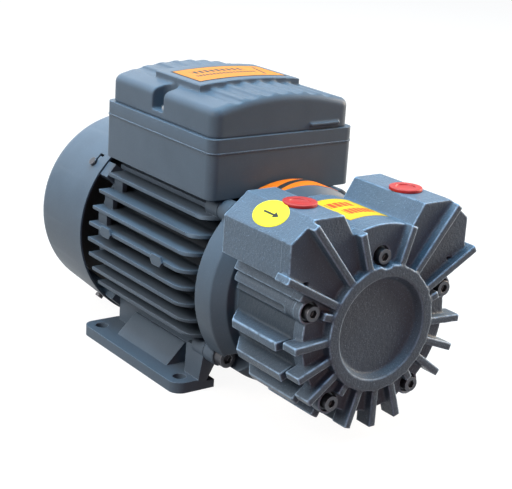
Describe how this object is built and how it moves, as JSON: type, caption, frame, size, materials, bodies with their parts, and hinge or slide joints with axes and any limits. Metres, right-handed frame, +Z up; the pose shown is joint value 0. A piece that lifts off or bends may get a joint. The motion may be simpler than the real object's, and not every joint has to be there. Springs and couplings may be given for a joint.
{
  "type": "rotary vane vacuum pump",
  "caption": "Dry rotary vane vacuum pump with a radially finned end cover, plugged top ports, a finned foot-mounted motor, terminal box and round fan cowl.",
  "frame": {"origin": "centre of the rectangle of foot holes, on the plane the feet stand on", "axes": "+Z up, +Y along the shaft from the pump cover towards the fan cowl, +X across, towards the cable gland"},
  "size_m": [0.163, 0.3415, 0.2145],
  "materials": {
    "frame_paint": "satin paint on die cast aluminium",
    "pump_paint": "semi-matt paint on sand cast iron",
    "box_paint": "satin paint on die cast aluminium",
    "cowl_paint": "satin paint on pressed steel",
    "black_steel": "black oxide",
    "zinc_steel": "zinc plated",
    "machined_steel": "ground",
    "bearing_steel": "polished",
    "lamination_steel": "stacked laminations",
    "cage_aluminium": "as cast",
    "side_plate_iron": "ground",
    "winding_copper": "varnished copper wire",
    "carbon": "graphite composite",
    "black_rubber": "matt",
    "fan_plastic": "moulded nylon",
    "gland_plastic": "moulded nylon",
    "plug_plastic": "soft moulded",
    "terminal_plastic": "moulded",
    "capacitor_plastic": "moulded",
    "post_brass": "bright"
  },
  "bodies": {
    "housing": {"motor_frame": "frame_paint", "drive_end_bell": "frame_paint", "rear_end_shield": "frame_paint", "shield_screws": "zinc_steel", "bell_bolts": "black_steel", "front_bearing_outer_race": "bearing_steel", "rear_bearing_outer_race": "bearing_steel", "preload_spring": "machined_steel", "shaft_seal": "black_rubber", "fan_cowl": "cowl_paint", "cowl_screws": "black_steel", "stator_core": "lamination_steel", "stator_windings": "winding_copper", "pump_cylinder": "pump_paint", "pump_end_cover": "pump_paint", "cover_gasket": "black_rubber", "cover_bolts": "black_steel", "cover_washers": "zinc_steel", "joint_screws": "black_steel", "dowel_pins": "machined_steel", "pump_side_plate": "side_plate_iron", "terminal_box_base": "box_paint", "terminal_box_lid": "box_paint", "lid_screws": "zinc_steel", "box_screws": "zinc_steel", "box_gasket": "black_rubber", "lid_gasket": "black_rubber", "terminal_block": "terminal_plastic", "terminal_posts": "post_brass", "run_capacitor": "capacitor_plastic", "capacitor_clamp": "zinc_steel", "gland_body": "gland_plastic", "gland_seal": "black_rubber", "gland_nut": "gland_plastic", "gland_locknut": "gland_plastic"},
    "rotating_group": {"motor_shaft": "machined_steel", "rotor_core": "lamination_steel", "rotor_cage": "cage_aluminium", "front_bearing_inner_race": "bearing_steel", "rear_bearing_inner_race": "bearing_steel", "cooling_fan": "fan_plastic", "fan_clip": "machined_steel", "pump_rotor": "machined_steel", "rotor_key": "machined_steel", "rotor_washer": "machined_steel", "rotor_screw": "black_steel"},
    "front_ball_set": {"front_bearing_balls": "bearing_steel"},
    "rear_ball_set": {"rear_bearing_balls": "bearing_steel"},
    "vane_1": {"vane_1": "carbon"},
    "vane_2": {"vane_2": "carbon"},
    "vane_3": {"vane_3": "carbon"},
    "vane_4": {"vane_4": "carbon"},
    "inlet_plug": {"inlet_plug": "plug_plastic"},
    "outlet_plug": {"outlet_plug": "plug_plastic"}
  },
  "joints": [
    {"name": "shaft_spin", "type": "hinge", "parent": "housing", "child": "rotating_group", "pos_m": [0, 0, 0.08], "axis": [0, 1, 0], "continuous": true},
    {"name": "front_balls_orbit", "type": "hinge", "parent": "housing", "child": "front_ball_set", "pos_m": [0, -0.0877, 0.08], "axis": [0, 1, 0], "continuous": true},
    {"name": "rear_balls_orbit", "type": "hinge", "parent": "housing", "child": "rear_ball_set", "pos_m": [0, 0.069, 0.08], "axis": [0, 1, 0], "continuous": true},
    {"name": "vane_1_slide", "type": "slide", "parent": "rotating_group", "child": "vane_1", "axis": [0.7071, 0, 0.7071], "range_m": [0, 0.001]},
    {"name": "vane_2_slide", "type": "slide", "parent": "rotating_group", "child": "vane_2", "axis": [-0.7071, 0, 0.7071], "range_m": [0, 0.001]},
    {"name": "vane_3_slide", "type": "slide", "parent": "rotating_group", "child": "vane_3", "axis": [-0.7071, 0, -0.7071], "range_m": [0, 0.001]},
    {"name": "vane_4_slide", "type": "slide", "parent": "rotating_group", "child": "vane_4", "axis": [0.7071, 0, -0.7071], "range_m": [0, 0.001]},
    {"name": "inlet_plug_pull", "type": "slide", "parent": "housing", "child": "inlet_plug", "axis": [0, 0, 1], "range_m": [0, 0.03]},
    {"name": "outlet_plug_pull", "type": "slide", "parent": "housing", "child": "outlet_plug", "axis": [0, 0, 1], "range_m": [0, 0.03]}
  ],
  "couplings": [
    {"joint": "front_balls_orbit", "follows": "shaft_spin", "ratio": 0.4234},
    {"joint": "rear_balls_orbit", "follows": "shaft_spin", "ratio": 0.4119}
  ]
}
